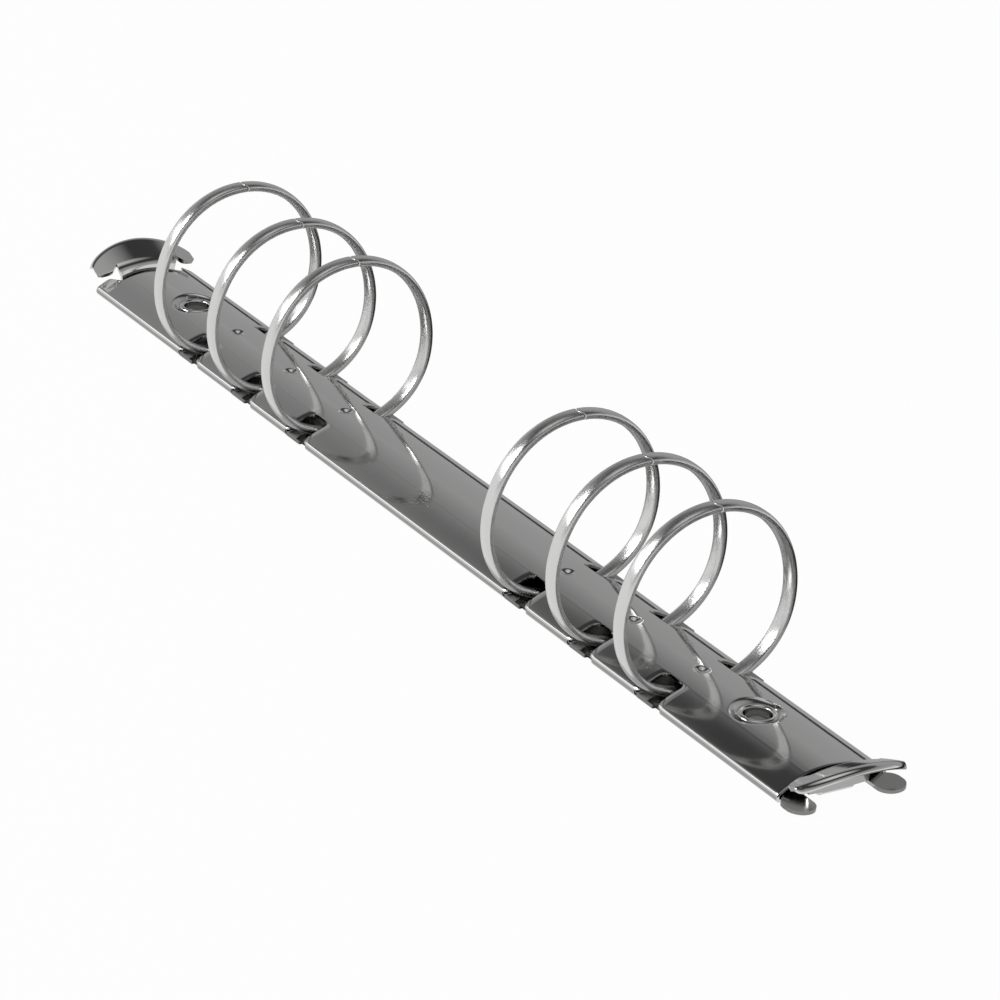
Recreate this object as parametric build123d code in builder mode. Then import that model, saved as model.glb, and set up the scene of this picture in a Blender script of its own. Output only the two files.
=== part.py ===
"""A5 ring mechanism for a loose-leaf binder: six rings on a sprung metal spine.

An arched steel cover holds two hinge plates in its folded rims. Each plate carries
six ring halves, and a lever at each end tips the plates to open and close the rings.

X runs along the spine, -Y is the near rim, +Y the far rim and Z is up.
The origin is at the middle of the underside. Lengths are millimetres, angles degrees.
"""

from build123d import *
import math
import os

# ---- driving dimensions -------------------------------------------------------------

# Rings: three at each end, 19 mm apart, with 70 mm between the two groups.
ring_pitch = 19.0
group_gap = 70.0
ring_bore = 30.0
wire_width = 2.8
wire_depth = 1.4
wire_crown = 0.3
wire_corner = 0.4
ring_centre_z = 16.0

# Cover: an arched sheet with both long edges folded down and in.
cover_width = 20.0
cover_rim_length = 215.0
end_cut_left = 3.7
end_cut_right = 0.5
cover_mid_span = 14.0
cover_crest_z = 4.23
cover_shoulder_z = 1.36
cover_sheet = 0.5
rim_bend_radius = 0.8
foot_bend_radius = 0.6
rim_lip = 1.7

# Slots that the ring legs pass through, open at the rim.
slot_width = 5.4
slot_inner_y = 4.7
slot_corner = 1.3
slot_mouth_radius = 0.9
slot_lip_left = 0.7

# Dimples over the meeting line of the hinge plates.
dimple_radius = 1.5
dimple_depth = 0.35

# Eyelets and the pockets they sit in.
eyelet_spacing = 176.0
eyelet_bore = 4.5
eyelet_wall = 0.35
eyelet_flange_diameter = 6.5
eyelet_roll = 0.9
pocket_floor_z = 2.95
pocket_floor_diameter = 6.9
pocket_mouth_diameter = 8.6
eyelet_hole_clearance = 0.05

# Hinge plates.
plate_thickness = 0.6
plate_pivot_y = 9.1
plate_pivot_z = 0.88
plate_closed_angle = 3.0
plate_end_setback = 2.0
plate_meeting_gap = 0.3
plate_edge_radius = 0.2
plate_eyelet_clearance = 1.2
tab_width = 4.4
tab_reach = 1.25

# Ears of the hinge plates, outside the right end of the cover.
ear_reach = 5.5
ear_inner_y = 5.75
ear_outer_y = 10.7
ear_corner = 2.4
ear_cover_clearance = 0.3

# Stakes that fix a ring half to its hinge plate.
stake_y = 5.4
stake_width = 1.6
stake_depth = 1.1
stake_head = 0.2
stake_head_overhang = 0.4
stake_clearance = 0.02
ring_foot_y = 4.2

# Interlocking seam at the top of each ring.
seam_gap = 0.04
tongue_width = 1.1
tongue_length = 0.45
tongue_clearance = 0.05

# Levers: a thumb pad on a neck, with a foot that reaches in between the hinge plates.
lever_sheet = 0.8
neck_clearance = 0.9
neck_half = 5.4
neck_foot_radius = 1.2
neck_waist_radius = 2.0
shoulder_z = 1.3
foot_half = 2.9
foot_length = 9.0
foot_z = 0.12
foot_clearance = 0.4
left_lever_setback = 2.6
fold_z = 5.5
neck_lean = 1.3
pad_half = 10.0
pad_depth = 7.0
pad_bow = 2.6
pad_rise = 13.0
pad_arch_drop = 1.7
pad_corner = 2.6

# ---- values worked out from them ----------------------------------------------------

group_start = group_gap / 2
ring_xs = sorted(side * (group_start + k * ring_pitch) for side in (-1, 1) for k in range(3))
eyelet_xs = [-eyelet_spacing / 2, eyelet_spacing / 2]
ring_inner = ring_bore / 2
ring_outer = ring_inner + wire_depth
ring_mid = ring_inner + wire_depth / 2
ring_axis = Axis((0, 0, ring_centre_z), (1, 0, 0))

half_width = cover_width / 2
half_length = cover_rim_length / 2
plate_tilt = math.radians(plate_closed_angle)
plate_depth = (plate_pivot_y - plate_meeting_gap / 2) / math.cos(plate_tilt)
plate_half = half_length - plate_end_setback
eyelet_outer = eyelet_bore / 2 + eyelet_wall

neck_x = half_length + neck_clearance
foot_tip_x = neck_x + lever_sheet - foot_length


def plate_plane(height=0.0):
    """Plane of the near hinge plate: origin on its pivot, y in towards the middle."""
    up = (0, math.sin(plate_tilt), math.cos(plate_tilt))
    return Plane(origin=(0, -plate_pivot_y, plate_pivot_z), x_dir=(1, 0, 0), z_dir=up).offset(height)


# ---- cover plate --------------------------------------------------------------------

with BuildSketch(Plane.YZ) as arch_outline:
    with BuildLine():
        ThreePointArc((half_width, cover_shoulder_z), (0, cover_crest_z), (-half_width, cover_shoulder_z))
        Polyline((-half_width, cover_shoulder_z), (-half_width, 0), (half_width, 0),
                 (half_width, cover_shoulder_z))
    make_face()
    fillet(arch_outline.vertices().group_by(Axis.Y)[-1], rim_bend_radius)
    fillet(arch_outline.vertices().group_by(Axis.Y)[0], foot_bend_radius)

with BuildSketch(Plane.YZ) as arch_section:
    add(arch_outline.sketch_local)
    offset(amount=-cover_sheet, kind=Kind.INTERSECTION, mode=Mode.SUBTRACT)
    Rectangle(cover_width - 2 * rim_lip, 3 * cover_sheet, mode=Mode.SUBTRACT)

pocket_slope = (pocket_mouth_diameter - pocket_floor_diameter) / 2 / (cover_crest_z - pocket_floor_z)
dimple_ball = (dimple_radius ** 2 + dimple_depth ** 2) / (2 * dimple_depth)
dimple_spots = [(x, 0, cover_crest_z - dimple_depth + dimple_ball) for x in ring_xs]


def pocket_cones(wall, mode):
    """Both eyelet pockets as cones that open upwards, with a wall outside the inner face."""
    low_z = pocket_floor_z - wall
    height = cover_crest_z + 1 - low_z
    low_radius = pocket_floor_diameter / 2 + wall - pocket_slope * wall
    with Locations(*[(x, 0, low_z) for x in eyelet_xs]):
        Cone(low_radius, low_radius + pocket_slope * height, height, mode=mode,
             align=(Align.CENTER, Align.CENTER, Align.MIN))


with BuildPart() as pressings:
    pocket_cones(cover_sheet, Mode.ADD)
    with Locations(*dimple_spots):
        Sphere(dimple_ball + cover_sheet)
    extrude(arch_outline.sketch, amount=half_length, both=True, mode=Mode.INTERSECT)

with BuildPart() as cover_plate:
    extrude(arch_section.sketch, amount=half_length, both=True)
    add(pressings.part)
    pocket_cones(0, Mode.SUBTRACT)
    with Locations(*dimple_spots):
        Sphere(dimple_ball, mode=Mode.SUBTRACT)
    with Locations(*[(x, 0, pocket_floor_z) for x in eyelet_xs]):
        Cylinder(eyelet_outer + eyelet_hole_clearance, 4 * cover_sheet, mode=Mode.SUBTRACT)

    # Slots for the ring legs, with round inner corners and a flared mouth at the rim.
    with BuildSketch() as slots:
        slot_reach = half_width - slot_inner_y
        for side in (-1, 1):
            with Locations(*[(x, side * (slot_inner_y + slot_reach / 2)) for x in ring_xs]):
                Rectangle(slot_width, slot_reach)
        fillet(slots.vertices().filter_by(lambda v: abs(v.Y) < half_width - 0.01), slot_corner)
        for side in (-1, 1):
            mouth_y = side * (half_width - slot_mouth_radius)
            with Locations(*[(x, side * half_width) for x in ring_xs]):
                Rectangle(slot_width + 2 * slot_mouth_radius, 2 * slot_mouth_radius)
            for edge in (-1, 1):
                round_x = edge * (slot_width / 2 + slot_mouth_radius)
                with Locations(*[(x + round_x, mouth_y) for x in ring_xs]):
                    Circle(slot_mouth_radius, mode=Mode.SUBTRACT)
    extrude(amount=cover_crest_z, mode=Mode.SUBTRACT)

    # The folded lip runs on unbroken below the slots.
    with BuildSketch() as lip_strips:
        for side in (-1, 1):
            with Locations((0, side * (half_width - rim_lip + slot_lip_left / 2))):
                Rectangle(2 * half_length, slot_lip_left)
    extrude(amount=cover_sheet)

    # The ends are cut back between the rims.
    with BuildSketch() as end_cuts:
        for end_x, cut in ((-half_length, end_cut_left), (half_length, end_cut_right)):
            with Locations((end_x, 0)):
                Rectangle(2 * cut, cover_mid_span)
        for end_x, cut in ((-half_length, end_cut_left), (half_length, end_cut_right)):
            inner = end_cuts.vertices().filter_by(
                lambda v: abs(v.X) < half_length and v.X * end_x > 0)
            fillet(inner, cut * 0.6)
    extrude(amount=cover_crest_z, mode=Mode.SUBTRACT)

# ---- hinge plates -------------------------------------------------------------------

foot_pocket_x = foot_tip_x - foot_clearance
foot_pocket_half = foot_half + foot_clearance
notch_radius = pocket_floor_diameter / 2 + cover_sheet + plate_eyelet_clearance
stake_spots = [(x, plate_pivot_y - stake_y) for x in ring_xs]

with BuildPart() as near_hinge_plate:
    with BuildSketch(plate_plane(-plate_thickness / 2)) as plate_outline:
        with Locations((0, plate_depth / 2)):
            Rectangle(2 * plate_half, plate_depth)
        with Locations(*[(x, 0) for x in ring_xs]):
            Rectangle(tab_width, 2 * tab_reach)
        ear_start_x = half_length + ear_cover_clearance
        ear_width = ear_outer_y - ear_inner_y
        arm_width = plate_pivot_y - ear_inner_y
        for side, start_x in ((-1, foot_pocket_x - left_lever_setback), (1, foot_pocket_x)):
            pocket_span = plate_half + 1 - start_x
            with Locations((side * (start_x + pocket_span / 2), plate_pivot_y)):
                Rectangle(pocket_span, 2 * foot_pocket_half, mode=Mode.SUBTRACT)
        with Locations((-plate_half, plate_pivot_y)):
            neck_room = 2 * (plate_half - (neck_x - left_lever_setback) + foot_clearance)
            Rectangle(neck_room, 2 * (neck_half + foot_clearance), mode=Mode.SUBTRACT)
        with Locations((ear_start_x + ear_reach / 2, plate_pivot_y - ear_outer_y + ear_width / 2)):
            RectangleRounded(ear_reach, ear_width, ear_corner)
        with Locations(((plate_half + ear_start_x + ear_corner) / 2, arm_width / 2)):
            Rectangle(ear_start_x + ear_corner - plate_half + 2, arm_width)
        with Locations(*[(x, plate_pivot_y) for x in eyelet_xs]):
            Circle(notch_radius, mode=Mode.SUBTRACT)
        with Locations(*stake_spots):
            Rectangle(stake_width + 2 * stake_clearance, stake_depth + 2 * stake_clearance,
                      mode=Mode.SUBTRACT)
    extrude(amount=plate_thickness)
    rim_edges = near_hinge_plate.edges().filter_by(Axis.X).filter_by(
        lambda e: e.length > tab_width * 1.5 and abs(e.center().Y + plate_pivot_y) < plate_thickness / 2)
    fillet(rim_edges, plate_edge_radius)

# ---- ring halves --------------------------------------------------------------------


def wire_section(x):
    """Crowned flat section of the wire at the top of the ring at x."""
    with BuildSketch(Plane.XZ) as section:
        low = ring_centre_z + ring_inner
        high = ring_centre_z + ring_outer
        side = wire_width / 2
        with BuildLine():
            ThreePointArc((x - side, high - wire_crown), (x, high), (x + side, high - wire_crown))
            Polyline((x + side, high - wire_crown), (x + side, low), (x - side, low),
                     (x - side, high - wire_crown))
        make_face()
        fillet(section.vertices(), wire_corner)
    return section.sketch


def seam_tongue(x, clearance):
    """Tongue that runs on from the near half, past the seam, into the far half."""
    with BuildPart() as tongue:
        reach = tongue_length + clearance
        revolve(wire_section(x), axis=ring_axis, revolution_arc=-math.degrees(math.asin(reach / ring_mid)))
        with Locations((x, 0, ring_centre_z + ring_mid)):
            Box(tongue_width + 2 * clearance, 4 * reach, 2 * wire_depth, mode=Mode.INTERSECT)
    return tongue.part


def ring_half(x):
    """Near ring half without its seam detail: arc of wire, cut foot and stake."""
    foot_angle = math.degrees(math.asin(ring_foot_y / ring_mid))
    with BuildPart() as half:
        revolve(wire_section(x), axis=ring_axis, revolution_arc=180 - foot_angle)
        split(bisect_by=plate_plane(plate_thickness / 2), keep=Keep.TOP)
        with Locations((x, 0, ring_centre_z + ring_mid)):
            Box(2 * wire_width, seam_gap, 2 * wire_depth, mode=Mode.SUBTRACT)
        spot = Location((x, plate_pivot_y - stake_y))
        with BuildSketch(plate_plane(-plate_thickness / 2)):
            with Locations(spot):
                Rectangle(stake_width, stake_depth)
        extrude(amount=plate_thickness + stake_head)
        with BuildSketch(plate_plane(-plate_thickness / 2)):
            with Locations(spot):
                Rectangle(stake_width + 2 * stake_head_overhang, stake_depth + 2 * stake_head_overhang)
        extrude(amount=-stake_head)
    return half.part


near_halves = []
far_halves = []
for x in ring_xs:
    plain_half = ring_half(x)
    with BuildPart() as near_half:
        add(plain_half)
        add(seam_tongue(x, 0))
        with Locations((x, 0, ring_centre_z + ring_mid)):
            Box(tongue_width, 2 * seam_gap, wire_depth * 0.5)
    with BuildPart() as far_half:
        add(mirror(plain_half, about=Plane.XZ))
        add(seam_tongue(x, tongue_clearance), mode=Mode.SUBTRACT)
    near_halves.append(near_half)
    far_halves.append(far_half)

with BuildPart() as far_hinge_plate:
    add(mirror(near_hinge_plate.part, about=Plane.XZ))

# ---- levers -------------------------------------------------------------------------

rise = math.radians(pad_rise)
pad_plane = Plane(origin=(neck_x + neck_lean, 0, fold_z), x_dir=(0, 1, 0), z_dir=(math.cos(rise), 0, math.sin(rise)))

with BuildPart() as pad_band:
    with BuildSketch(pad_plane) as band_section:
        with BuildLine():
            ThreePointArc((-pad_half, -pad_arch_drop), (0, 0), (pad_half, -pad_arch_drop))
            ThreePointArc((-pad_half, -pad_arch_drop - lever_sheet), (0, -lever_sheet),
                          (pad_half, -pad_arch_drop - lever_sheet))
            Line((-pad_half, -pad_arch_drop), (-pad_half, -pad_arch_drop - lever_sheet))
            Line((pad_half, -pad_arch_drop), (pad_half, -pad_arch_drop - lever_sheet))
        make_face()
    extrude(amount=2 * pad_depth, both=True)
    with BuildSketch() as pad_outline:
        pad_tip_x = neck_x + pad_depth - pad_bow
        with BuildLine():
            ThreePointArc((pad_tip_x, -pad_half), (neck_x + pad_depth, 0), (pad_tip_x, pad_half))
            inner_x = neck_x + neck_lean
            Polyline((pad_tip_x, pad_half), (inner_x, pad_half), (inner_x, -pad_half), (pad_tip_x, -pad_half))
        make_face()
        fillet(pad_outline.vertices().group_by(Axis.X)[-1], pad_corner)
        fillet(pad_outline.vertices().group_by(Axis.X)[0], lever_sheet / 2)
    extrude(amount=4 * fold_z, mode=Mode.INTERSECT)

with BuildPart() as right_lever:
    with BuildSketch(Plane.XZ) as neck_profile:
        outer_x = neck_x + lever_sheet
        with BuildLine():
            top_x = neck_x + 2 * neck_lean
            Polyline((foot_tip_x, foot_z), (outer_x, foot_z), (top_x + lever_sheet, 2 * fold_z),
                     (top_x, 2 * fold_z), (neck_x, foot_z + lever_sheet),
                     (foot_tip_x, foot_z + lever_sheet), close=True)
        make_face()
        fillet(neck_profile.vertices().sort_by_distance((outer_x, foot_z))[0], neck_foot_radius)
        fillet(neck_profile.vertices().sort_by_distance((neck_x, foot_z + lever_sheet))[0],
               neck_foot_radius - lever_sheet)
    extrude(amount=pad_half, both=True)
    with BuildSketch(Plane.YZ) as neck_outline:
        with Locations((0, shoulder_z)):
            Rectangle(2 * neck_half, 3 * fold_z, align=(Align.CENTER, Align.MIN))
        Rectangle(2 * foot_half, 2 * shoulder_z)
        fillet(neck_outline.vertices().filter_by(lambda v: abs(v.Y - shoulder_z) < 0.01), foot_z * 4)
    extrude(amount=neck_x + 2 * pad_depth, mode=Mode.INTERSECT)
    with BuildSketch(pad_plane) as under_pad:
        with BuildLine():
            ThreePointArc((-pad_half, -pad_arch_drop), (0, 0), (pad_half, -pad_arch_drop))
            Polyline((pad_half, -pad_arch_drop), (pad_half, -4 * fold_z), (-pad_half, -4 * fold_z),
                     (-pad_half, -pad_arch_drop))
        make_face()
    extrude(amount=2 * foot_length, both=True, mode=Mode.INTERSECT)
    add(pad_band.part)

left_lever_shape = Pos(left_lever_setback, 0, 0) * mirror(right_lever.part, about=Plane.YZ)

with BuildPart() as left_lever:
    add(left_lever_shape)

# ---- eyelets ------------------------------------------------------------------------


def eyelet(x):
    """Tubular eyelet whose rolled flange rests on the floor of its pocket."""
    with BuildPart() as tube:
        with BuildSketch(Plane.XZ) as wall:
            bore = eyelet_bore / 2
            with Locations((x + bore, 0)):
                Rectangle(eyelet_wall, pocket_floor_z + eyelet_roll / 2, align=(Align.MIN, Align.MIN))
            with Locations((x + bore, pocket_floor_z)):
                Rectangle(eyelet_flange_diameter / 2 - bore, eyelet_roll, align=(Align.MIN, Align.MIN))
            flange_corners = wall.vertices().filter_by(lambda v: v.Y > pocket_floor_z + eyelet_roll * 0.9)
            fillet(flange_corners, eyelet_roll * 0.45)
        revolve(axis=Axis((x, 0, 0), (0, 0, 1)))
    return tube


left_eyelet, right_eyelet = [eyelet(x) for x in eyelet_xs]

# ---- named pieces -------------------------------------------------------------------

pieces = {
    "cover_plate": cover_plate,
    "near_hinge_plate": near_hinge_plate,
    "far_hinge_plate": far_hinge_plate,
    "left_lever": left_lever,
    "right_lever": right_lever,
    "left_eyelet": left_eyelet,
    "right_eyelet": right_eyelet,
}
for number, (near_half, far_half) in enumerate(zip(near_halves, far_halves), start=1):
    pieces[f"near_ring_half_{number}"] = near_half
    pieces[f"far_ring_half_{number}"] = far_half

os.makedirs("parts", exist_ok=True)
for name, piece in pieces.items():
    piece.part.label = name
    export_step(piece.part, f"parts/{name}.step")
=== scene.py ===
# %% [markdown]
# # A ring mechanism for a loose-leaf binder
#
# The real thing is a long arched cover plate of nickel-plated steel. Two hinge plates lie under
# it and carry six rings, each in two halves. A lever at each end pushes the plates over centre,
# and all six rings open at once. Everything here is a bright mirror, so the shape of each bend
# and what stands around the object matter more than any colour.
#
# The CAD model is loaded first. It fixes the size and place of every piece, and each finer
# mesh below stands for one of its nodes and rides on the same body.

# %% Load the CAD model
import math

import bpy
import numpy as np
from mathutils import Matrix, Vector


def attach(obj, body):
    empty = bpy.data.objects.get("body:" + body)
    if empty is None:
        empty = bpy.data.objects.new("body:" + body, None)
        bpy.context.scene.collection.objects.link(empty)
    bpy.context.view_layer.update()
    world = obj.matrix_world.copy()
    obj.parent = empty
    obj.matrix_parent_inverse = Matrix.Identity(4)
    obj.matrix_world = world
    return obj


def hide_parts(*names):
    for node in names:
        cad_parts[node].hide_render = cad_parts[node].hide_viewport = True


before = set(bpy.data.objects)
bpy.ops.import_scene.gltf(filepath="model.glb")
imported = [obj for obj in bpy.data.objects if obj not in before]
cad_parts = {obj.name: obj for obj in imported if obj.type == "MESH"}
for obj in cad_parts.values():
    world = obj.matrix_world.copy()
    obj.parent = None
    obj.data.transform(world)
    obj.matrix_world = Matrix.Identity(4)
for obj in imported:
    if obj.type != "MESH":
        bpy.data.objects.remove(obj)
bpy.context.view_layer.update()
MM = 0.001

# %% [markdown]
# ## Helpers for meshes
#
# A surface is worked out as an array of points on a grid of rows and columns. Blender takes the
# points in one call. Lengths are in millimetres up to that call, because the sizes of this
# object are easier to read that way.

# %% Mesh helpers


def grid_faces(rows, cols, keep=None, wrap=False):
    """Quads between neighbours on a grid. keep masks the cells, wrap joins the last column to the first."""
    index = np.arange(rows * cols).reshape(rows, cols)
    if wrap:
        index = np.hstack([index, index[:, :1]])
    quads = np.stack([index[:-1, :-1], index[:-1, 1:], index[1:, 1:], index[1:, :-1]], axis=-1)
    return quads[keep] if keep is not None else quads.reshape(-1, 4)


def make_piece(name, points, faces, body, nodes):
    """Mesh object from points in millimetres. It rides on a body and stands for CAD nodes."""
    points = np.asarray(points, float).reshape(-1, 3)
    used = np.unique(np.concatenate([np.ravel(face) for face in faces]))
    renumber = np.full(len(points), -1)
    renumber[used] = np.arange(len(used))
    points = points[used]
    faces = [renumber[face].tolist() for face in faces]
    mesh = bpy.data.meshes.new(name)
    mesh.from_pydata((points * MM).tolist(), [], faces)
    mesh.shade_smooth()
    piece = bpy.data.objects.new(name, mesh)
    bpy.context.scene.collection.objects.link(piece)
    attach(piece, body)
    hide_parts(*nodes)
    print(f"{name}: {len(points)} points, {len(faces)} faces")
    return piece


def thicken(piece, thickness, edge, segments, sharp, even):
    """Gives a sheet its thickness on the inner side, then rounds edges sharper than an angle."""
    wall = piece.modifiers.new("sheet", "SOLIDIFY")
    wall.thickness = thickness * MM
    wall.offset = -1
    wall.use_even_offset = even
    rounding = piece.modifiers.new("cut edges", "BEVEL")
    rounding.width = edge * MM
    rounding.segments = segments
    rounding.limit_method = "ANGLE"
    rounding.angle_limit = math.radians(sharp)


def smooth_step(value, low, high):
    """0 below low, 1 above high, and a smooth curve between."""
    t = np.clip((value - low) / (high - low), 0, 1)
    return t * t * (3 - 2 * t)


# %% [markdown]
# ## Sizes
#
# Most of these repeat the driving dimensions of the CAD model, in millimetres. The cover's middle
# is cut back a little at each end, further at the left one, so that the lever's neck has room.

# %% Sizes
RING_XS = np.array([-73.0, -54.0, -35.0, 35.0, 54.0, 73.0])
EYELET_XS = np.array([-88.0, 88.0])
HALF_WIDTH, CREST_Z, ARCH_RISE = 10.0, 4.23, 2.87
ARCH_RADIUS = (HALF_WIDTH ** 2 + ARCH_RISE ** 2) / (2 * ARCH_RISE)
RIM_BEND, FOOT_BEND, SHEET = 0.8, 0.6, 0.5
HALF_LENGTH, LEFT_MID_END, RIGHT_MID_END = 107.5, 104.9, 107.2
SLOT_HALF, SLOT_INNER_Y, SLOT_CORNER, SLOT_FLARE = 2.7, 4.7, 1.3, 0.9
DIMPLE_DEPTH, DIMPLE_INNER, DIMPLE_OUTER = 0.5, 0.2, 1.4
POCKET_FLOOR_Z, POCKET_INNER, POCKET_OUTER, EYELET_HOLE = 2.95, 3.3, 4.5, 2.7
print("arch radius:", round(ARCH_RADIUS, 2), "mm")

# %% [markdown]
# ## The cover plate
#
# The real cover is one strip of sheet steel. It is pressed into a shallow arch, folded down at
# both rims and folded in again at the foot. A strip like this is a profile carried along X.
# Each row carries one point of the profile along X, and each column is one section of the strip.
# The columns bend round each slot, so a slot is just a patch of cells that is left out, and its
# edge is a clean row of points.

# %% The profile of the cover


def cover_profile():
    """Outer line of the cover in the YZ plane, from one lip to the other, as arcs and straights."""
    bend_y = HALF_WIDTH - RIM_BEND
    arch_z = CREST_Z - ARCH_RADIUS
    bend_z = arch_z + math.sqrt((ARCH_RADIUS - RIM_BEND) ** 2 - bend_y ** 2)
    tangent = math.atan2(bend_y, bend_z - arch_z)
    lean = np.linspace(0, tangent, 44)
    arch = np.stack([ARCH_RADIUS * np.sin(lean), arch_z + ARCH_RADIUS * np.cos(lean)], 1)
    turn = np.linspace(tangent, math.pi / 2, 12)[1:]
    rim = np.stack([bend_y + RIM_BEND * np.sin(turn), bend_z + RIM_BEND * np.cos(turn)], 1)
    drop = np.stack([np.full(2, HALF_WIDTH), np.linspace(bend_z, FOOT_BEND, 4)[1:3]], 1)
    turn = np.linspace(0, math.pi / 2, 8)
    foot = np.stack([HALF_WIDTH - FOOT_BEND + FOOT_BEND * np.cos(turn),
                     FOOT_BEND - FOOT_BEND * np.sin(turn)], 1)
    lip = np.array([[9.2, 0], [9.0, 0], [8.7, 0], [8.3, 0]])
    half = np.vstack([arch, rim, drop, foot, lip])
    return np.vstack([half[:0:-1] * [-1, 1], half])


profile = cover_profile()
profile_y, profile_z = profile.T
strip_width = np.hypot(*np.diff(profile, axis=0).T).sum()
print("profile:", len(profile), "points, strip width", round(strip_width, 1), "mm")

# %% [markdown]
# The columns are close together round the slots and eyelets and far apart elsewhere. Those of a
# slot are shares of its half width, which changes down the profile.

# %% The columns of the cover


def slot_half_width(y, lip):
    """Half width of a slot at each profile point: rounded inner end, straight sides, flared mouth."""
    reach = np.abs(y) - SLOT_INNER_Y
    inside = np.clip(reach, 0, SLOT_CORNER)
    rounded = SLOT_HALF - SLOT_CORNER + np.sqrt(SLOT_CORNER ** 2 - (SLOT_CORNER - inside) ** 2)
    before = SLOT_HALF - SLOT_CORNER * smooth_step(np.abs(y), SLOT_INNER_Y - 2.2, SLOT_INNER_Y)
    width = np.where(reach < 0, before, rounded)
    mouth = np.clip(np.abs(y) - (HALF_WIDTH - SLOT_FLARE), 0, SLOT_FLARE)
    flare = SLOT_FLARE - np.sqrt(np.maximum(SLOT_FLARE ** 2 - mouth ** 2, 0))
    return width + np.where(lip, SLOT_FLARE, flare)


is_lip = profile_z < FOOT_BEND * 0.98
slot_width = slot_half_width(profile_y, is_lip)

# The row that lies on the slot's inner end is moved exactly onto it.
for side in (-1, 1):
    row = int(np.argmin(np.abs(profile_y - side * SLOT_INNER_Y) + 9 * is_lip))
    profile_y[row] = side * SLOT_INNER_Y
    slot_width[row] = SLOT_HALF - SLOT_CORNER

EYELET_ZONE, EYELET_CELLS = 5.4, 48
SLOT_ZONE, SLOT_SIDE, SLOT_CELLS = 4.4, 4.0, 24
LEFT_START, END_ZONE = -93.5, 101.0
columns = []


def add_columns(xs):
    """Adds straight columns of the cover, each at one place along X."""
    columns.extend(np.full(len(profile_y), x) for x in xs)


add_columns([-HALF_LENGTH, -HALF_LENGTH + 0.5, -105.5, -104, -END_ZONE, -97, LEFT_START])
cursor = LEFT_START
slot_starts = []
for centre in np.sort(np.concatenate([RING_XS, EYELET_XS])):
    zone = EYELET_ZONE if centre in EYELET_XS else SLOT_ZONE
    gap = centre - zone - cursor
    if gap > 0.05:
        add_columns(np.linspace(cursor, centre - zone, max(2, int(gap / 3) + 1))[1:])
    if centre in EYELET_XS:
        add_columns(np.linspace(centre - zone, centre + zone, EYELET_CELLS + 1)[1:])
    else:
        add_columns([centre - SLOT_SIDE])
        slot_starts.append(len(columns))
        columns.extend(centre + share * slot_width for share in np.linspace(-1, 1, SLOT_CELLS + 1))
        add_columns([centre + SLOT_SIDE, centre + zone])
    cursor = centre + zone
add_columns([97, END_ZONE, 104, 105.5, HALF_LENGTH - 0.5, HALF_LENGTH])
cover_x = np.stack(columns, 1)
print("columns:", cover_x.shape[1])

# %% [markdown]
# The press also leaves a dimple on the middle line at each ring, and a round pocket for each
# eyelet. The middle of each end is drawn in to where the lever's neck stands.

# %% The cover's pressed details


def pressed(points):
    """Presses the dimples and the eyelet pockets into the cover, as smooth functions of distance."""
    x, y, z = points[..., 0], points[..., 1], points[..., 2]
    top = z > 2.4
    for centre in RING_XS:
        away = np.hypot(x - centre, y)
        z -= np.where(top, DIMPLE_DEPTH * (1 - smooth_step(away, DIMPLE_INNER, DIMPLE_OUTER)), 0)
    for centre in EYELET_XS:
        away = np.hypot(x - centre, y)
        rise = smooth_step(away, POCKET_INNER, POCKET_OUTER)
        sunk = POCKET_FLOOR_Z + (z - POCKET_FLOOR_Z) * rise
        z[:] = np.where(top & (away < POCKET_OUTER + 0.1), sunk, z)
    return points


cover_points = np.stack([cover_x, np.broadcast_to(profile_y[:, None], cover_x.shape),
                         np.broadcast_to(profile_z[:, None], cover_x.shape)], -1).copy()
mid_end = np.where(cover_points[..., 0] < 0, LEFT_MID_END, RIGHT_MID_END)
end_x = mid_end + smooth_step(np.abs(cover_points[..., 1]), 6.0, 7.6) * (HALF_LENGTH - mid_end)
reach = np.abs(cover_points[..., 0])
drawn_in = END_ZONE + (reach - END_ZONE) * (end_x - END_ZONE) / (HALF_LENGTH - END_ZONE)
sided = np.sign(cover_points[..., 0]) * drawn_in
cover_points[..., 0] = np.where(reach > END_ZONE, sided, cover_points[..., 0])
cover_points = pressed(cover_points)
print("lowest pressed point of the top:", round(cover_points[len(profile_y) // 2, :, 2].min(), 2), "mm")

# %% [markdown]
# Points near the circle of an eyelet hole are moved onto it. The cells inside it and the cells of
# the slots are left out, and the sheet gets its thickness.

# %% The cover's holes and slots
for centre in EYELET_XS:
    offset = cover_points[..., :2] - [centre, 0]
    away = np.hypot(offset[..., 0], offset[..., 1])
    close = (np.abs(away - EYELET_HOLE) < 0.13) & (cover_points[..., 2] > 2)
    on_circle = [centre, 0] + offset / np.maximum(away, 0.1)[..., None] * EYELET_HOLE
    cover_points[..., :2] = np.where(close[..., None], on_circle, cover_points[..., :2])

keep = np.ones((len(profile_y) - 1, cover_x.shape[1] - 1), bool)
row_y = (np.abs(profile_y[:-1]) + np.abs(profile_y[1:])) / 2
row_lip = is_lip[:-1] & is_lip[1:]
open_rows = (row_y > SLOT_INNER_Y) & ~(row_lip & (row_y < 9.0))
for first in slot_starts:
    keep[:, first:first + SLOT_CELLS] &= ~open_rows[:, None]
for centre in EYELET_XS:
    middle = (cover_points[:-1, :-1] + cover_points[1:, 1:]) / 2
    away = np.hypot(middle[..., 0] - centre, middle[..., 1])
    keep &= ~((away < EYELET_HOLE) & (middle[..., 2] > 2))

print("cells kept:", int(keep.sum()), "of", keep.size)
faces = grid_faces(*cover_x.shape, keep=keep)
cover = make_piece("cover_sheet", cover_points, faces, "cover", ["cover_plate"])
thicken(cover, SHEET, edge=0.1, segments=2, sharp=50, even=True)

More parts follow.
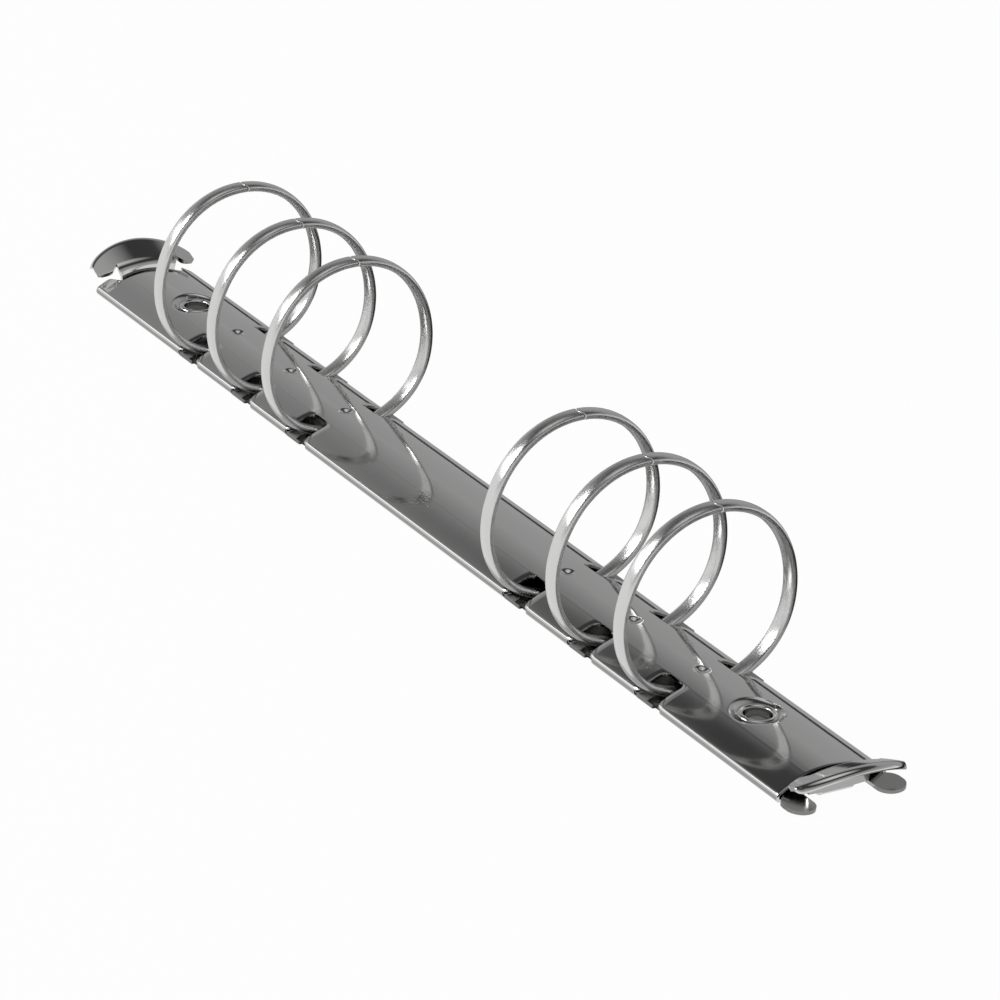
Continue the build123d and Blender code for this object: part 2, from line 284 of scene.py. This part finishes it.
# %% [markdown]
# ## The rings
#
# Each ring is made of flat wire, rolled a little rounder on the outside and bent into a circle.
# The circle of a real ring is not perfect, so its radius changes slowly with the angle. The halves
# meet at the top in a curved joint with a fine rounded edge. A section carried along an arc gives
# all of this. The far half stops sooner than the near one, to leave room for the cover's edge
# when the ring is open.

# %% The ring halves
RING_Y, RING_Z, SEAM_GAP, SEAM_BULGE = -0.44, 16.0, 0.0035, 0.045
WIRE_HALF, WIRE_HALF_DEPTH, WIRE_CROWN, WIRE_SQUARENESS = 1.4, 0.69, 0.08, 3.3
WIRE_LENGTH, WIRE_GIRTH = 45, 8.0
FOOT_ANGLES = {-1: -74.5, 1: -71.0}


def ring_radius(angle):
    """Middle radius of the wire at an angle, as a circle plus three slow waves."""
    return (15.66 + 0.109 * np.cos(2 * angle) - 0.26 * np.sin(3 * angle)
            - 0.117 * np.cos(4 * angle))


def wire_section(count=56):
    """Section of the flat wire: a rounded rectangle as a superellipse, crowned on the outside."""
    turn = np.linspace(0, 2 * math.pi, count, endpoint=False)
    power = 2 / WIRE_SQUARENESS
    across = WIRE_HALF * np.sign(np.cos(turn)) * np.abs(np.cos(turn)) ** power
    out = WIRE_HALF_DEPTH * np.sign(np.sin(turn)) * np.abs(np.sin(turn)) ** power
    out += np.where(out > 0, WIRE_CROWN * (1 - (across / WIRE_HALF) ** 2) - WIRE_CROWN / 2, 0)
    return across, out


def ring_half(x, side):
    """Half a ring: the section at each angle from the foot to the seam, with a rounded curved end."""
    across, out = wire_section()
    foot, seam = math.radians(FOOT_ANGLES[side]), math.pi / 2 - SEAM_GAP
    seam_steps = 1 - 0.015 * np.array([0.8, 0.6, 0.4, 0.2, 0.1, 0.0])
    share = np.concatenate([np.linspace(0, 0.985, 120), seam_steps])
    bulge = side * (SEAM_BULGE * (1 - (across / WIRE_HALF) ** 2) - 0.02)
    angle = foot + share[:, None] * (seam - foot) + bulge * smooth_step(share, 0.93, 1)[:, None]
    shrink = np.ones(len(share))
    shrink[-3:] = [0.985, 0.95, 0.86]
    wide = across[None, :] * shrink[:, None]
    tall = out[None, :] * shrink[:, None]
    radius = ring_radius(angle if side > 0 else math.pi - angle)
    y = side * (radius + tall) * np.cos(angle) + RING_Y
    z = (radius + tall) * np.sin(angle) + RING_Z
    points = np.stack([x + wide, y, z], -1)
    rows, cols = y.shape
    faces = list(grid_faces(rows, cols, wrap=True))
    faces.append(np.arange(cols)[::-1])
    faces.append(np.arange(cols) + (rows - 1) * cols)
    if side > 0:
        faces = [face[::-1] for face in faces]
    return points, faces, share


def add_length_uv(piece, cols, length, girth):
    """UV map in millimetres from each point's place in the grid: u along the wire, v round its section."""
    layer = piece.data.uv_layers.new(name="wire")
    corner = np.zeros(len(piece.data.loops), int)
    piece.data.loops.foreach_get("vertex_index", corner)
    u = length[corner // cols]
    v = (corner % cols) / cols * girth
    layer.uv.foreach_set("vector", np.stack([u, v], 1).ravel())


ring_pieces = []
for number, x in enumerate(RING_XS, start=1):
    for side, name in ((-1, "near"), (1, "far")):
        points, faces, share = ring_half(x, side)
        piece = make_piece(f"{name}_wire_{number}", points, faces, f"{name}_plate",
                           [f"{name}_ring_half_{number}"])
        add_length_uv(piece, points.shape[1], share * WIRE_LENGTH, WIRE_GIRTH)
        ring_pieces.append(piece)

# %% [markdown]
# ## The eyelets
#
# An eyelet is a short tube whose top is rolled outwards. It is a line turned round an axis.

# %% The eyelets
BORE, TUBE, FLANGE, SEAT_Z, EYELET_STEPS = 2.25, 2.6, 3.25, 2.97, 96


def eyelet(name, x, node):
    """Tube with a rolled flange: a closed section line turned round the axis."""
    bead = np.linspace(0, math.pi, 15)
    roll_r = (BORE + FLANGE) / 2 - 0.5 * np.cos(bead)
    roll_z = SEAT_Z + 0.52 + 0.34 * np.sin(bead)
    r = np.concatenate([[TUBE, BORE, BORE], roll_r, [FLANGE, FLANGE - 0.1, TUBE]])
    z = np.concatenate([[0.02, 0.02, 1.6], roll_z, [3.2, SEAT_Z, SEAT_Z]])
    turn = np.linspace(0, 2 * math.pi, EYELET_STEPS, endpoint=False)
    points = np.stack([x + r[:, None] * np.cos(turn), r[:, None] * np.sin(turn),
                       np.broadcast_to(z[:, None], (len(r), EYELET_STEPS))], -1)
    faces = grid_faces(len(r) + 1, EYELET_STEPS, wrap=True) % (len(r) * EYELET_STEPS)
    return make_piece(name, points, faces, "cover", [node])


eyelets = [eyelet(f"{side}_rolled_eyelet", x, f"{side}_eyelet")
           for side, x in zip(("left", "right"), EYELET_XS)]

# %% [markdown]
# ## The levers
#
# A lever is pressed from one sheet. A foot reaches in under the cover, a neck stands up at the end
# and a thumb pad folds outwards at its top. The pad is arched from side to side like the cover.
# One grid makes the pad and another makes the neck and foot. They share the row of the fold.

# %% The line of a lever, seen from its side
PAD_RISE = math.radians(20)
NECK_HALF, FOOT_HALF, PAD_HALF, LEVER_SHEET, LEFT_SETBACK = 5.4, 2.9, 10.0, 0.8, 2.6


def bend(corner, before, after, radius, count=9):
    """Points of an arc of a radius that rounds a corner between two directions."""
    before, after = np.array(before) / np.hypot(*before), np.array(after) / np.hypot(*after)
    half = math.acos(np.clip(before @ after, -1, 1)) / 2
    start = np.array(corner) - before * radius * math.tan(half)
    normal = after - before * (before @ after)
    normal /= np.hypot(*normal)
    turn = np.linspace(0, 2 * half, count)[:, None]
    return start + before * radius * np.sin(turn) + normal * radius * (1 - np.cos(turn))


def lever_line():
    """Foot, neck and fold as one line in the XZ plane: straight runs joined by two arcs."""
    foot_corner, fold_corner = (108.3, 0.92), (109.4, 5.55)
    neck_way = np.subtract(fold_corner, foot_corner)
    pad_way = (math.cos(PAD_RISE), math.sin(PAD_RISE))
    foot = np.stack([np.linspace(100.2, 107.4, 5), np.full(5, 0.92)], 1)
    low = bend(foot_corner, (1, 0), neck_way, 0.45)
    high = bend(fold_corner, neck_way, pad_way, 2.0, 21)
    share = np.linspace(0, 1, 22)[1:-1, None]
    neck = low[-1] + (high[0] - low[-1]) * share
    return foot, low, neck, high


foot_line, low_line, neck_line, fold_line = lever_line()
print("fold runs from", fold_line[0].round(2), "to", fold_line[-1].round(2))

# %% [markdown]
# The pad is widest at the fold's middle. Its wings are rounded off and droop a little, and its outer
# edge is rolled down so that it is kind to a thumb. The left lever stands nearer to the rings.

# %% The levers
PAD_OUTER_X, LEFT_PAD_EXTRA, PAD_DROOP, FOLD_HALF = 115.35, 0.9, 1.75, 5.9
EDGE_ROLL, EDGE_TURN = 1.6, math.radians(80)
FOLD_COLUMNS, WING_COLUMNS, PAD_ROWS = 37, 18, 34


def pad_grid(side):
    """Grid of the pad. Rows run from the fold to the rolled outer edge, columns from wing to wing."""
    inner = np.linspace(-1, 1, FOLD_COLUMNS) * FOLD_HALF
    wing = FOLD_HALF + (PAD_HALF - FOLD_HALF) * np.sin(np.linspace(0, math.pi / 2, WING_COLUMNS + 1)[1:])
    y = np.concatenate([-wing[::-1], inner, wing])
    tip = np.clip(np.abs(y) / PAD_HALF, 0, 1)
    ease = 1 - np.sqrt(np.clip(1 - tip ** 6, 0.0, 1))
    end_x, end_z = fold_line[-1]
    outer_x = PAD_OUTER_X - 2.2 * tip ** 2 - 1.2 * ease
    if side < 0:
        outer_x = outer_x + LEFT_PAD_EXTRA
    inner_x = end_x - 1.4 * smooth_step(np.abs(y), 5.6, 7.6) + 1.1 * ease
    reach = outer_x - inner_x
    roll = np.minimum(EDGE_ROLL, 0.45 * reach)
    pad_x = inner_x + reach * np.linspace(0, 1, PAD_ROWS)[:, None]
    turn = np.clip((pad_x - inner_x - reach + roll) / roll, 0, 1) * EDGE_TURN
    pad_x = np.minimum(pad_x, outer_x - roll) + roll * np.sin(turn)
    pad_z = end_z + (pad_x - end_x) * math.tan(PAD_RISE) - PAD_DROOP * tip ** 2
    pad_z = pad_z - roll * (1 - np.cos(turn))
    return np.stack([pad_x, np.broadcast_to(y, pad_x.shape), pad_z], -1)


def neck_grid(share):
    """Grid of neck and foot, from the fold down. Each column is a share of the half width."""
    x, z = np.vstack([foot_line, low_line, neck_line, fold_line[:-1]])[::-1].T
    half = NECK_HALF + 0.5 * smooth_step(z, 3.2, 5.3) + 0.1 * smooth_step(-z, -2.4, -1.4)
    half = np.where(z < 1.4, FOOT_HALF, half)
    across = share * half[:, None]
    droop = -PAD_DROOP * (across / PAD_HALF) ** 2 * smooth_step(z, 2.0, 5.3)[:, None]
    return np.stack([np.broadcast_to(x[:, None], across.shape), across, z[:, None] + droop], -1)


def lever(name, side, node):
    """Lever of one sheet: the row of the fold belongs to the pad's grid and to the neck's."""
    pad = pad_grid(side)
    rows, cols = pad.shape[:2]
    fold = slice(WING_COLUMNS, WING_COLUMNS + FOLD_COLUMNS)
    neck = neck_grid(pad[0, fold, 1] / FOLD_HALF)
    points = np.concatenate([pad.reshape(-1, 3), neck.reshape(-1, 3)])
    neck_index = np.arange(neck[..., 0].size).reshape(neck.shape[:2]) + rows * cols
    index = np.vstack([np.arange(cols)[fold], neck_index])
    neck_faces = np.stack([index[:-1, 1:], index[1:, 1:], index[1:, :-1], index[:-1, :-1]], -1)
    faces = np.vstack([grid_faces(rows, cols)[:, ::-1], neck_faces.reshape(-1, 4)])
    if side < 0:
        points[:, 0] = LEFT_SETBACK - points[:, 0]
        faces = faces[:, ::-1]
    piece = make_piece(name, points, faces, node, [node])
    thicken(piece, LEVER_SHEET, edge=0.22, segments=3, sharp=60, even=False)
    return piece


levers = [lever("left_thumb_lever", -1, "left_lever"), lever("right_thumb_lever", 1, "right_lever")]

# %% [markdown]
# ## Materials
#
# One small class writes shader maths as Python expressions. Any other node comes from its one
# node-making method.

# %% Shader helper


class Socket:
    """A value in a shader. Operators on it add Math nodes."""

    def __init__(self, tree, link):
        self.tree, self.link = tree, link

    def node(self, kind, values=None, output=0, **settings):
        """Adds a node: settings are set first, then the values or links of its inputs."""
        node = self.tree.nodes.new(kind)
        for key, value in settings.items():
            if key == "stops":
                while len(node.color_ramp.elements) < len(value):
                    node.color_ramp.elements.new(0.5)
                for element, (place, colour) in zip(node.color_ramp.elements, value):
                    element.position, element.color = place, colour
            else:
                setattr(node, key, value)
        for key, value in (values or {}).items():
            if isinstance(value, Socket):
                self.tree.links.new(value.link, node.inputs[key])
            else:
                node.inputs[key].default_value = value
        return Socket(self.tree, node.outputs[output])

    def maths(self, operation, *terms):
        """Adds a Math node."""
        return self.node("ShaderNodeMath", dict(enumerate(terms)), operation=operation)

    def __add__(self, other):
        return self.maths("ADD", self, other)

    __radd__ = __add__

    def __mul__(self, other):
        return self.maths("MULTIPLY", self, other)

    __rmul__ = __mul__


def start_material(name):
    """New node material: returns it with a socket to start from and its output node."""
    material = bpy.data.materials.new(name)
    material.use_nodes = True
    material.node_tree.nodes.clear()
    out = material.node_tree.nodes.new("ShaderNodeOutputMaterial")
    return material, Socket(material.node_tree, None), out


# %% [markdown]
# ## Nickel plate
#
# Bright nickel is a slightly grey mirror. Real plating is never perfect: the sheet under it is a
# little wavy, handling leaves a faint haze, and wire keeps fine lines along its length from being
# drawn. Those three show as slow bumps, small changes in roughness and stretched noise.

# %% The nickel materials
GENERATED_COORDS, OBJECT_COORDS = 0, 3


def nickel(name, colour, roughness, wave=0.0, lines=0.0):
    """Mirror metal with a hazy roughness. It can have a slow wave and drawn lines, by depth in mm."""
    material, make, out = start_material(name)
    place = make.node("ShaderNodeTexCoord", output=OBJECT_COORDS)
    haze = make.node("ShaderNodeTexNoise", {"Vector": place, "Scale": 160.0, "Detail": 3.0})
    rough = roughness + haze * (roughness * 0.9)
    bump = None
    if wave:
        swell = make.node("ShaderNodeTexNoise", {"Vector": place, "Scale": 60.0, "Detail": 1.0})
        bump = make.node("ShaderNodeBump", {"Height": swell, "Strength": 1.0, "Distance": wave * MM})
    if lines:
        uv = make.node("ShaderNodeUVMap", uv_map="wire")
        stretched = make.node("ShaderNodeMapping", {"Vector": uv, "Scale": (0.12, 9.0, 1.0)})
        drawn = make.node("ShaderNodeTexNoise", {"Vector": stretched, "Scale": 1.0, "Detail": 4.0})
        values = {"Height": drawn, "Strength": 1.0, "Distance": lines * MM}
        if bump:
            values["Normal"] = bump
        bump = make.node("ShaderNodeBump", values)
        rough = rough + drawn * 0.06
    values = {"Base Color": (*colour, 1), "Metallic": 1.0, "Roughness": rough}
    if bump:
        values["Normal"] = bump
    shader = make.node("ShaderNodeBsdfPrincipled", values)
    material.node_tree.links.new(shader.link, out.inputs["Surface"])
    return material


cover_nickel = nickel("cover nickel", (0.60, 0.60, 0.595), 0.05, wave=0.02)
# The hinge plates' nickel is darker than the rest: the extra darkness is painted shade for plates under the
# cover.
shaded_plate_nickel = nickel("hinge plate nickel", (0.36, 0.36, 0.355), 0.12, wave=0.02)
lever_nickel = nickel("lever nickel", (0.60, 0.60, 0.595), 0.06, wave=0.02)
wire_nickel = nickel("wire nickel", (0.62, 0.62, 0.615), 0.13, lines=0.03)
eyelet_nickel = nickel("eyelet nickel", (0.60, 0.60, 0.595), 0.06)

for pieces, material in (([cover], cover_nickel), (ring_pieces, wire_nickel), (levers, lever_nickel),
                         (eyelets, eyelet_nickel)):
    for piece in pieces:
        piece.data.materials.append(material)

# The hinge plates keep their CAD shape and take the darker nickel, painted shade for plates that lie under
# the cover.
for name in ("near_hinge_plate", "far_hinge_plate"):
    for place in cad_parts[name].material_slots:
        place.material = shaded_plate_nickel
print("materials:", [material.name for material in bpy.data.materials])

# %% [markdown]
# ## Floor, cards and light
#
# A mirror shows its room. The floor and background are white. The floor glows for the rays that a
# mirror sends, and soft light sees it as plain matte. The room is darker high up, where the cover
# looks.

# %% Floor and world


def plain_plane(name, corners):
    """Flat four-cornered stage piece."""
    mesh = bpy.data.meshes.new(name)
    mesh.from_pydata([tuple(c) for c in corners], [], [(0, 1, 2, 3)])
    plane = bpy.data.objects.new(name, mesh)
    bpy.context.scene.collection.objects.link(plane)
    return plane


def flat(x0, x1, y0, y1, z=0):
    """Corners of a level rectangle."""
    return [(x0, y0, z), (x1, y0, z), (x1, y1, z), (x0, y1, z)]


CAMERA_RAY, GLOSSY_RAY, TRANSMISSION_RAY = 0, 3, 6
floor = plain_plane("floor", flat(-6, 6, -6, 6, -0.00002))
floor_material, make, out = start_material("white floor")
seen_by = (CAMERA_RAY, GLOSSY_RAY, TRANSMISSION_RAY)
ray = sum((make.node("ShaderNodeLightPath", output=kind) for kind in seen_by), 0.0)
matte = make.node("ShaderNodeBsdfDiffuse", {"Color": (0.82, 0.82, 0.82, 1)})
bright = make.node("ShaderNodeEmission", {"Color": (1, 1, 1, 1), "Strength": 1.0})
share = make.node("ShaderNodeMixShader", {0: make.maths("MINIMUM", ray, 0.97), 1: matte, 2: bright})
floor_material.node_tree.links.new(share.link, out.inputs["Surface"])
floor.data.materials.append(floor_material)

world = bpy.data.worlds.new("room")
bpy.context.scene.world = world
world.use_nodes = True
world.node_tree.nodes.clear()
sky = Socket(world.node_tree, None)
camera_ray = sky.node("ShaderNodeLightPath", output=CAMERA_RAY)
direction = sky.node("ShaderNodeTexCoord", output=GENERATED_COORDS)
height = sky.node("ShaderNodeSeparateXYZ", {"Vector": direction}, output=2)
ROOM_TONES = ((0.0, 1.0), (0.12, 0.95), (0.26, 0.50), (0.42, 0.44), (0.54, 0.36),
              (0.62, 0.28), (0.70, 0.06), (0.86, 0.05), (0.94, 0.5), (1.0, 0.9))
stops = [(place, (tone, tone, tone, 1)) for place, tone in ROOM_TONES]
ceiling = sky.node("ShaderNodeValToRGB", {"Fac": height}, stops=stops)
tone = sky.node("ShaderNodeMix", {0: camera_ray, 6: ceiling, 7: (1, 1, 1, 1)}, output=2, data_type="RGBA")
background = sky.node("ShaderNodeBackground", {"Color": tone, "Strength": 1.0})
world_out = world.node_tree.nodes.new("ShaderNodeOutputWorld")
world.node_tree.links.new(background.link, world_out.inputs["Surface"])
print("room tones:", len(ROOM_TONES))

# %% [markdown]
# Cards on the floor and beside the object give the metal something darker to reflect, and one bright card
# puts the light streak on the rings. The shade cards just past the far rim, along the near rim, under the
# cover, under the eyelets and in front of the right lever are painted shadow of the object on the floor,
# seen only in the metal. The camera can't see them.

# %% Cards and lamps


def card(name, corners, tone):
    """Panel that only mirrors see: hidden from the camera, from soft light and from shadows."""
    panel = plain_plane(name, corners)
    material, make, out = start_material(name)
    glow = make.node("ShaderNodeEmission", {"Color": (tone, tone, tone, 1), "Strength": 1.0})
    material.node_tree.links.new(glow.link, out.inputs["Surface"])
    panel.data.materials.append(material)
    panel.visible_camera = panel.visible_diffuse = panel.visible_shadow = False
    return panel


card("dark floor card", flat(-0.35, 0.6, 0.028, 0.12), 0.03)
# Painted shadow on the floor just past the far rim, seen only in the metal.
card("near shade card", flat(-0.5, 0.3, 0.0104, 0.028), 0.42)
card("far shade card", flat(-2.4, 0.1, 0.12, 0.7), 0.42)
# Painted shadow on the floor along the near rim, under the cover, under the eyelets and in front of the
# right lever, seen only in the metal.
card("rim shade card", flat(-0.12, 0.112, -0.015, -0.0102), 0.5)
card("under shade card", flat(-0.08, 0.08, -0.0095, 0.0095), 0.03)
card("left eyelet shade card", flat(-0.105, -0.08, -0.0095, 0.0095), 0.2)
card("right eyelet shade card", flat(0.08, 0.105, -0.0095, 0.0095), 0.2)
card("lever shade card", flat(0.1093, 0.125, -0.02, 0.02), 0.6)
card("grey backdrop card", [(-2.4, 0.7, 0), (0.1, 0.7, 0), (0.1, 0.7, 0.62), (-2.4, 0.7, 0.62)], 0.42)
card("bright side card",
     [(-1.05, -0.45, 0.3), (-0.7, -0.85, 0.3), (-0.7, -0.85, 0.55), (-1.05, -0.45, 0.55)], 1.8)


lamp = bpy.data.lights.new("key softbox", "AREA")
lamp.shape, lamp.size, lamp.size_y, lamp.energy = "RECTANGLE", 0.7, 0.5, 9
softbox = bpy.data.objects.new("key softbox", lamp)
bpy.context.scene.collection.objects.link(softbox)
lamp_place, lamp_target = Vector((-0.5, -0.9, 0.7)), Vector((0, 0, 0.01))
turn = (lamp_target - lamp_place).to_track_quat("-Z", "Y").to_matrix().to_4x4()
softbox.matrix_world = Matrix.Translation(lamp_place) @ turn
print("softbox:", lamp.energy, "W")

# %% [markdown]
# ## Camera
#
# A long lens from the right and above, turned a little about its own axis.

# %% Camera
camera_data = bpy.data.cameras.new("camera")
camera_data.sensor_width, camera_data.lens = 36.0, 167.3
camera = bpy.data.objects.new("camera", camera_data)
bpy.context.scene.collection.objects.link(camera)
camera.location = (0.58606, -0.38421, 0.31709)
camera.rotation_euler = [math.radians(a) for a in (65.78137, -3.97749, 57.89876)]
bpy.context.scene.camera = camera
bpy.context.scene.view_settings.view_transform = "Standard"
print("camera:", camera_data.lens, "mm lens")
